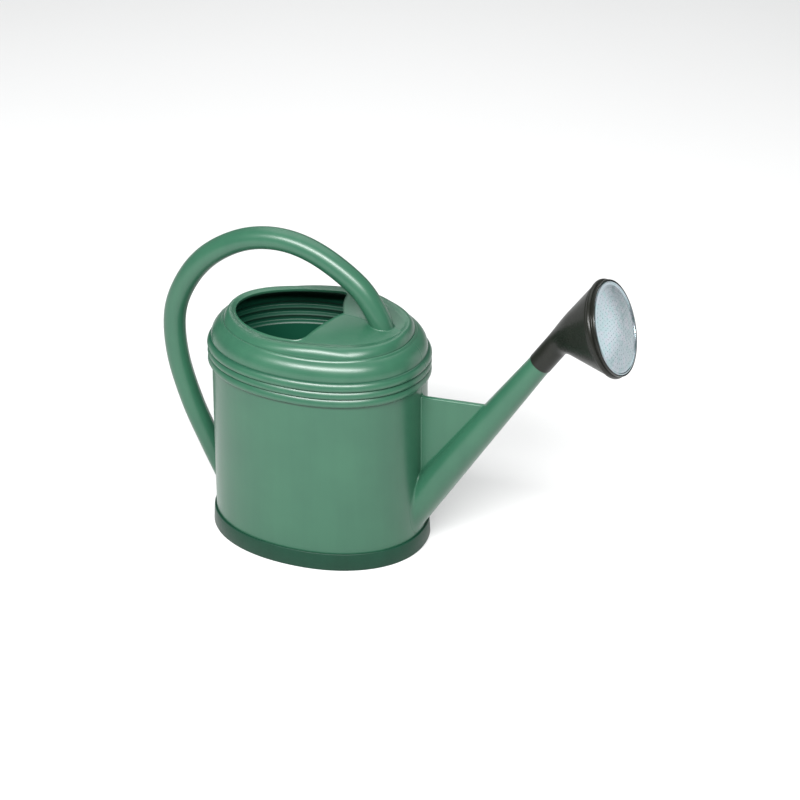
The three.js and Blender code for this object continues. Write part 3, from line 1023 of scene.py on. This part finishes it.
def srgb(red, green, blue):
    """A colour in screen values, from 0 to 255, as a shader's linear one."""
    def linear(value):
        value = value / 255
        return value / 12.92 if value <= 0.04045 else ((value + 0.055) / 1.055) ** 2.4
    return (linear(red), linear(green), linear(blue), 1.0)


can_colours = (srgb(42, 86, 65), srgb(36, 79, 60), srgb(110, 135, 120))
can_skin = {"gloss": (0.28, 0.37), "grain": (1100.0, 0.00003), "wear": (0.15, 0.04, 0.05)}
can_green = plastic("can green polyethylene", *can_colours, **can_skin)
# painted shade: darker inside the tank and in the grooves between the beads
tank_green_painted_shade = plastic("tank green polyethylene", *can_colours, **can_skin, inside=srgb(0, 58, 40))
foot_green = plastic(
    "dark green foot plastic", srgb(14, 55, 40), srgb(11, 48, 34), srgb(66, 94, 78),
    gloss=(0.36, 0.5), grain=(800.0, 0.00005), wear=(0.25, 0.03, 0.03), specular=0.22)
rose_black = plastic(
    "black rose plastic", srgb(25, 26, 22), srgb(18, 20, 16), srgb(80, 78, 70),
    gloss=(0.24, 0.34), grain=(1300.0, 0.00003), wear=(0.0, 0.04, 0.02), specular=0.24)


def seal_material():
    """Black rubber with a faint grey bloom."""
    material, b, shader = new_material("black seal rubber")
    place = b.add("TexCoord", "Object")
    bloom = b.noise(place, 160.0, 4, 0.6)
    b.feed(shader["Base Color"], b.mix(b.ramp(bloom, 0.4, 0.7), srgb(24, 24, 25), srgb(48, 48, 49)))
    b.feed(shader["Roughness"], b.ramp(bloom, 0.3, 0.7, 0.7, 0.9))
    b.feed(shader["Normal"], b.bump(b.noise(place, 1500.0), 0.00004))
    return material


def plate_material():
    """Galvanised sheet: crystals of slightly different tone and hue, with fine rolling lines."""
    material, b, shader = new_material("galvanised plate")
    place = b.add("TexCoord", "Object")
    crystals = b.add("TexVoronoi", "Color", Vector=place, Scale=170.0, Randomness=1.0)
    crystal_tone = b.add("SeparateColor", "Red", Color=crystals)
    rolled = b.noise(b.stretched(place, (40, 900, 40)), 3.0, 3, 0.6)
    tone = b.math("ADD", b.math("MULTIPLY", crystal_tone, 0.55), b.math("MULTIPLY", rolled, 0.45))
    relief = b.math("ADD", rolled, b.math("MULTIPLY", crystal_tone, 0.4))
    b.feed(shader["Base Color"], b.mix(tone, srgb(138, 166, 168), srgb(176, 178, 188)))
    b.feed(shader["Roughness"], b.ramp(tone, 0.2, 0.8, 0.19, 0.27))
    b.feed(shader["Normal"], b.bump(relief, 0.00002))
    shader["Metallic"].default_value = 1.0
    return material


seal_rubber = seal_material()
plate_metal = plate_material()


# ---- the pieces ----

wall = add_piece("tank_wall_shell", tank_wall(), tank_green_painted_shade, "can_plastic", "can", "tank_wall")
cut_away(wall, spout_bore_cutter())
add_piece("tank_floor_pan", tank_floor(), tank_green_painted_shade, "can_plastic", "can", "tank_floor")
add_piece("foot_ring_band", foot_ring(), foot_green, "foot_plastic", "can", "foot_ring")
add_piece("shoulder_beads", shoulder_ring(), tank_green_painted_shade, "can_plastic", "can", "shoulder_ring", crease=60)
add_piece("deck_and_mouth", mouth_deck(), can_green, "can_plastic", "can", "mouth_deck", crease=50)
add_piece("loop_handle", handle(), can_green, "can_plastic", "can", "handle", crease=60)
add_piece("spout_tube", spout(), can_green, "can_plastic", "can", "spout", crease=50)
add_piece("brace_web", spout_web(), can_green, "can_plastic", "can", "spout_web", crease=60)
add_piece("rose_cone", rose_body(), rose_black, "rose_plastic", "rose", "rose_body")
add_piece("rose_rim_bead", rose_rim(), rose_black, "rose_plastic", "rose", "rose_rim")
add_piece("seal_ring", rose_seal(), seal_rubber, "seal_rubber", "rose_seat", "rose_seal")
plate = add_piece("spray_plate", rose_plate(), plate_metal, "plate_metal", "rose", "rose_plate")
cut_away(plate, spray_holes())


# ---- floor, light and camera ----

def stage_floor():
    bm = bmesh.new()
    bmesh.ops.create_grid(bm, x_segments=1, y_segments=1, size=30)
    mesh = bpy.data.meshes.new("floor")
    bm.to_mesh(mesh)
    bm.free()
    floor = bpy.data.objects.new("floor", mesh)
    bpy.context.scene.collection.objects.link(floor)
    material, b, shader = new_material("pale floor")
    place = b.add("TexCoord", "Object")
    tone = b.noise(place, 2.0, 2, 0.5)
    b.feed(shader["Base Color"], b.mix(tone, (0.6, 0.6, 0.6, 1), (0.62, 0.62, 0.62, 1)))
    shader["Roughness"].default_value = 0.9
    shader["Emission Color"].default_value = (1, 1, 1, 1)
    shader["Emission Strength"].default_value = 0.15
    floor.data.materials.append(material)


def soft_light(name, place, aim, size, power):
    """A rectangular soft box that looks at aim."""
    data = bpy.data.lights.new(name, "AREA")
    data.shape = "RECTANGLE"
    data.size, data.size_y = size
    data.energy = power
    light = bpy.data.objects.new(name, data)
    light.location = place
    light.rotation_mode = "QUATERNION"
    light.rotation_quaternion = (Vector(aim) - Vector(place)).to_track_quat("-Z", "Y")
    bpy.context.scene.collection.objects.link(light)


def studio():
    """A wide, shallow soft box high in front makes the long highlights, and three others fill in from
    above, behind and the side."""
    world = bpy.data.worlds.new("studio")
    bpy.context.scene.world = world
    world.use_nodes = True
    background = world.node_tree.nodes["Background"]
    background.inputs["Color"].default_value = (0.92, 0.95, 0.95, 1)
    background.inputs["Strength"].default_value = 0.3
    middle = Vector((-0.06, 0, 0.22))
    soft_light("key", middle + Vector((0.1, -0.69, 0.7)) * 2.4, middle, (2.7, 0.42), 150)
    soft_light("top", middle + Vector((-0.1, 0.35, 1)) * 2.6, middle, (3.0, 2.4), 42)
    soft_light("back", middle + Vector((-0.36, 0.8, 0.49)) * 2.4, middle, (1.3, 0.2), 4)
    soft_light("side", (1.2, 1.0, 0.36), (0, 0, 0.2), (0.7, 0.6), 1.7)


def camera():
    """Looks down on the can from the front and a little to the spout's side."""
    azimuth = math.radians(22.866)
    elevation = math.radians(28.999)
    distance = 3.4
    aim_right, aim_above = 0.09525, 0.14969
    right = Vector((math.cos(azimuth), math.sin(azimuth), 0))
    back = Vector((math.sin(azimuth) * math.cos(elevation), -math.cos(azimuth) * math.cos(elevation),
                   math.sin(elevation)))
    above = back.cross(right)
    aim = Vector((TANK_X, 0, 0)) + right * aim_right + above * aim_above
    data = bpy.data.cameras.new("camera")
    data.sensor_width = 36
    data.lens = 125.24
    eye = bpy.data.objects.new("camera", data)
    eye.location = aim + back * distance
    eye.rotation_mode = "QUATERNION"
    eye.rotation_quaternion = Matrix((right, above, back)).transposed().to_quaternion()
    bpy.context.scene.collection.objects.link(eye)
    bpy.context.scene.camera = eye


stage_floor()
studio()
camera()
bpy.context.scene.view_settings.view_transform = "Standard"
